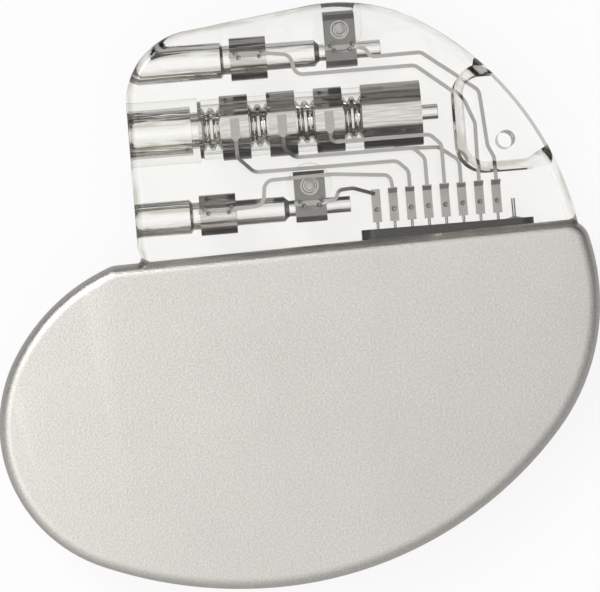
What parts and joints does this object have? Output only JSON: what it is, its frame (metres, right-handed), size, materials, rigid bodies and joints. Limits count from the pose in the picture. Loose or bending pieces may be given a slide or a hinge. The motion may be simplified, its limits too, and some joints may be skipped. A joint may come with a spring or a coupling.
{
  "type": "cardiac pacemaker",
  "caption": "Flat implantable pulse generator: rounded titanium can with a clear cast header that holds side-entry lead ports, contact rings and ribbon conductors.",
  "frame": {"origin": "centre of the outline, on the back face that the device lies on", "axes": "+X along the lead ports, away from their mouths; +Y from the can up to the header; +Z out of the front face"},
  "size_m": [0.062, 0.0589, 0.0072],
  "materials": {
    "can_titanium": "bead-blasted titanium, smooth bright shoulder",
    "header_epoxy": "water-clear cast epoxy",
    "contact_steel": "turned and polished",
    "clamp_steel": "fine milled",
    "screw_steel": "turned",
    "silicone": "clear silicone rubber",
    "clear_spacer": "clear moulded plastic",
    "ribbon_metal": "matte etched strip",
    "flange_titanium": "dark polished",
    "feedthrough_ceramic": "fired alumina",
    "pin_metal": "drawn wire",
    "battery_steel": "drawn",
    "sealing_glass": "fused",
    "frame_plastic": "moulded",
    "board_laminate": "coated laminate",
    "chip_plastic": "moulded",
    "capacitor_body": "moulded",
    "crystal_can": "drawn can",
    "ferrite": "sintered",
    "copper_wire": "enamelled wire"
  },
  "bodies": {
    "root": {"accelerometer": "chip_plastic", "back_shell": "can_titanium", "battery_case": "battery_steel", "battery_glass": "sealing_glass", "battery_lead": "ribbon_metal", "battery_lid": "battery_steel", "battery_terminal": "pin_metal", "bipolar_springs": "screw_steel", "circuit_board": "board_laminate", "crystal": "crystal_can", "feedthrough_beads": "feedthrough_ceramic", "feedthrough_flange": "flange_titanium", "feedthrough_pins": "pin_metal", "front_shell": "can_titanium", "ground_pin": "pin_metal", "header_body": "header_epoxy", "inner_frame": "frame_plastic", "lower_ring_block": "contact_steel", "lower_ring_ribbon": "ribbon_metal", "lower_septum": "silicone", "lower_set_screw": "screw_steel", "lower_tip_block": "clamp_steel", "lower_tip_ribbon": "ribbon_metal", "magnet_sensor": "chip_plastic", "main_chip": "chip_plastic", "memory_chip": "chip_plastic", "middle_contact_1": "contact_steel", "middle_contact_2": "contact_steel", "middle_contact_3": "contact_steel", "middle_retaining_ring": "contact_steel", "middle_ribbon_1": "ribbon_metal", "middle_ribbon_2": "ribbon_metal", "middle_ribbon_3": "ribbon_metal", "middle_seal_1": "silicone", "middle_seal_2": "silicone", "middle_seal_3": "silicone", "middle_seal_4": "silicone", "middle_septum": "silicone", "middle_set_screw": "screw_steel", "middle_sleeve": "clear_spacer", "middle_spacer_1": "clear_spacer", "middle_spacer_2": "clear_spacer", "middle_spacer_3": "clear_spacer", "middle_spacer_4": "clear_spacer", "middle_springs": "screw_steel", "middle_tip_block": "contact_steel", "middle_tip_ribbon": "ribbon_metal", "pacing_capacitors": "capacitor_body", "telemetry_chip": "chip_plastic", "telemetry_core": "ferrite", "telemetry_winding": "copper_wire", "upper_ring_block": "contact_steel", "upper_ring_ribbon": "ribbon_metal", "upper_septum": "silicone", "upper_set_screw": "screw_steel", "upper_tip_block": "clamp_steel", "upper_tip_ribbon": "ribbon_metal", "weld_band": "can_titanium"}
  },
  "joints": []
}
